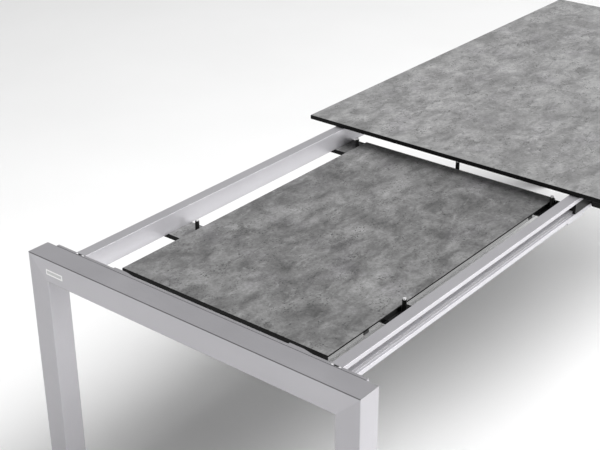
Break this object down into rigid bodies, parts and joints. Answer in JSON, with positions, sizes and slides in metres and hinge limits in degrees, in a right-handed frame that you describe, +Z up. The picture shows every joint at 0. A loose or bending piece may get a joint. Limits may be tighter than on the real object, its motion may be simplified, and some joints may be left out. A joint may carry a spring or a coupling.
{
  "type": "extendable dining table",
  "caption": "Rectangular dining table whose end frame pulls out on side rails; a spare leaf is stored under it between stop pins.",
  "frame": {"origin": "on the floor under the middle of the table with its end frame pulled right out", "axes": "+Z up; +X along the table, from the near crossbar of the pulled-out end frame to the far legs; +Y across it"},
  "size_m": [2.5443, 0.95, 0.74],
  "materials": {
    "compact_board": "matt concrete-look decor with a black core",
    "frame_paint": "satin silver powder coat",
    "black_plastic": "matt moulded",
    "steel_screws": "bright",
    "rubber_pads": "matt",
    "badge_plate": "satin, blank"
  },
  "bodies": {
    "main_frame": {"main_top": "compact_board", "far_crossbar": "frame_paint", "far_leg_left": "frame_paint", "far_leg_right": "frame_paint", "far_foot_left": "black_plastic", "far_foot_right": "black_plastic", "fixed_rail_left": "frame_paint", "fixed_rail_right": "frame_paint", "fixed_rail_cap_left": "black_plastic", "fixed_rail_cap_right": "black_plastic", "rail_end_plate_left": "frame_paint", "rail_end_plate_right": "frame_paint", "top_screws": "steel_screws", "spacer_pads": "rubber_pads"},
    "end_frame": {"near_crossbar": "frame_paint", "back_plate": "frame_paint", "near_leg_left": "frame_paint", "near_leg_right": "frame_paint", "near_foot_left": "black_plastic", "near_foot_right": "black_plastic", "moving_rail_left": "frame_paint", "moving_rail_right": "frame_paint", "rail_slider_left": "black_plastic", "rail_slider_right": "black_plastic", "rail_gasket_left": "black_plastic", "rail_gasket_right": "black_plastic", "rail_end_cap_left": "black_plastic", "rail_end_cap_right": "black_plastic", "shelf_clip_left": "frame_paint", "shelf_clip_right": "frame_paint", "rail_root_screws": "steel_screws", "front_shelf": "compact_board", "rear_shelf": "compact_board", "shelf_screws": "steel_screws", "stop_pin_sleeves": "black_plastic", "stop_pin_bolts": "steel_screws", "badge": "badge_plate"},
    "leaf": {"leaf": "compact_board", "leaf_strip_left": "frame_paint", "leaf_strip_right": "frame_paint", "leaf_buffer_front_left": "black_plastic", "leaf_buffer_rear_left": "black_plastic", "leaf_buffer_front_right": "black_plastic", "leaf_buffer_rear_right": "black_plastic"}
  },
  "joints": [
    {"name": "end_frame_slide", "type": "slide", "parent": "main_frame", "child": "end_frame", "axis": [1, 0, 0], "range_m": [0, 1.044]},
    {"name": "leaf_lift", "type": "slide", "parent": "end_frame", "child": "leaf", "axis": [0, 0, 1], "range_m": [0, 0.03]}
  ]
}
